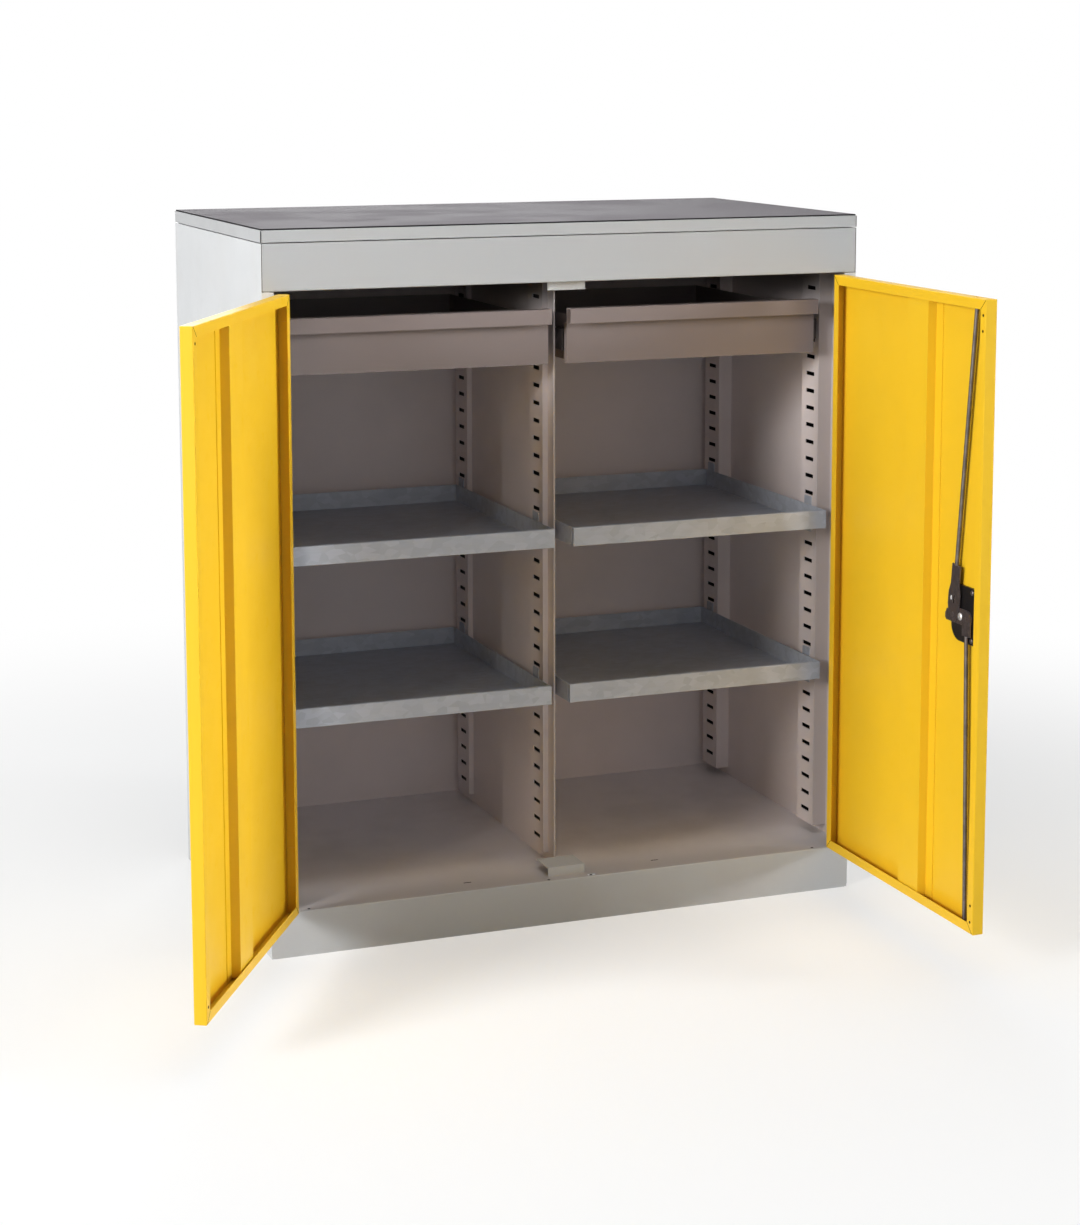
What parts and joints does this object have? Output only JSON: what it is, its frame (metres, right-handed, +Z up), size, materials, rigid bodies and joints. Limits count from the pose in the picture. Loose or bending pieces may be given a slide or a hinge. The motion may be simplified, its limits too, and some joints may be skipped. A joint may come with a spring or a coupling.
{
  "type": "tool cabinet",
  "caption": "Free-standing sheet-steel workshop cabinet with hinged doors, a three-point lock, drawers, adjustable tray shelves on slotted uprights and a rubber-matted worktop.",
  "frame": {"origin": "on the floor, under the middle of the carcass", "axes": "+X to the right as seen from the front, +Y to the back, +Z up; the doors open towards -Y"},
  "size_m": [1.1003, 0.936, 1.02],
  "materials": {
    "grey_paint": "satin powder coat",
    "yellow_paint": "satin powder coat",
    "zinc": "galvanised",
    "rubber": "matt, fine ribs",
    "black_plastic": "fine texture",
    "steel": "dull zinc plate"
  },
  "bodies": {
    "carcass": {"left_side_panel": "grey_paint", "right_side_panel": "grey_paint", "base_frame": "grey_paint", "floor_pan": "grey_paint", "back_panel": "grey_paint", "top_panel": "grey_paint", "fascia": "grey_paint", "divider_panel": "grey_paint", "upper_stop_bracket": "grey_paint", "lower_stop_bracket": "grey_paint", "worktop_pads": "rubber", "worktop_lid": "grey_paint", "rubber_mat": "rubber", "left_side_front_upright": "grey_paint", "left_side_rear_upright": "grey_paint", "left_divider_front_upright": "grey_paint", "left_divider_rear_upright": "grey_paint", "left_upper_shelf": "zinc", "left_lower_shelf": "zinc", "left_drawer_rails": "steel", "left_hinge_frames": "grey_paint", "right_side_front_upright": "grey_paint", "right_side_rear_upright": "grey_paint", "right_divider_front_upright": "grey_paint", "right_divider_rear_upright": "grey_paint", "right_upper_shelf": "zinc", "right_lower_shelf": "zinc", "right_drawer_rails": "steel", "right_hinge_frames": "grey_paint", "shelf_clips": "zinc"},
    "left_door": {"left_door_pan": "yellow_paint", "left_door_stiffener": "yellow_paint", "left_hinge_leaves": "yellow_paint"},
    "left_drawer": {"left_drawer_box": "grey_paint", "left_drawer_front": "grey_paint", "left_drawer_runners": "steel"},
    "right_door": {"right_door_pan": "yellow_paint", "right_door_stiffener": "yellow_paint", "right_hinge_leaves": "yellow_paint", "lock_housing": "black_plastic", "handle_plate": "black_plastic"},
    "right_drawer": {"right_drawer_box": "grey_paint", "right_drawer_front": "grey_paint", "right_drawer_runners": "steel"},
    "lock_rotor": {"lock_handle": "black_plastic", "key_barrel": "steel", "lock_spindle": "steel", "cam_plate": "steel", "cam_pins": "steel"},
    "upper_rod": {"upper_rod": "steel", "upper_link": "steel"},
    "lower_rod": {"lower_rod": "steel", "lower_link": "steel"}
  },
  "joints": [
    {"name": "left_door_hinge", "type": "hinge", "parent": "carcass", "child": "left_door", "pos_m": [-0.4325, -0.2545, 0.5], "axis": [0, 0, -1], "range_deg": [-121, 49]},
    {"name": "right_door_hinge", "type": "hinge", "parent": "carcass", "child": "right_door", "pos_m": [0.4325, -0.2545, 0.5], "axis": [0, 0, 1], "range_deg": [-90, 80]},
    {"name": "left_drawer_slide", "type": "slide", "parent": "carcass", "child": "left_drawer", "axis": [0, -1, 0], "range_m": [0, 0.3]},
    {"name": "right_drawer_slide", "type": "slide", "parent": "carcass", "child": "right_drawer", "axis": [0, -1, 0], "range_m": [0, 0.3]},
    {"name": "lock_turn", "type": "hinge", "parent": "right_door", "child": "lock_rotor", "pos_m": [0.4217, -0.62, 0.495], "axis": [1, 0, 0], "range_deg": [0, 90]},
    {"name": "upper_rod_pivot", "type": "hinge", "parent": "lock_rotor", "child": "upper_rod", "pos_m": [0.42, -0.602, 0.495], "axis": [1, 0, 0], "range_deg": [-93, 0]},
    {"name": "lower_rod_pivot", "type": "hinge", "parent": "lock_rotor", "child": "lower_rod", "pos_m": [0.42, -0.638, 0.495], "axis": [1, 0, 0], "range_deg": [-93, 0]}
  ],
  "couplings": [
    {"joint": "upper_rod_pivot", "follows": "lock_turn", "ratio": -1.0242},
    {"joint": "lower_rod_pivot", "follows": "lock_turn", "ratio": -1.0288}
  ]
}
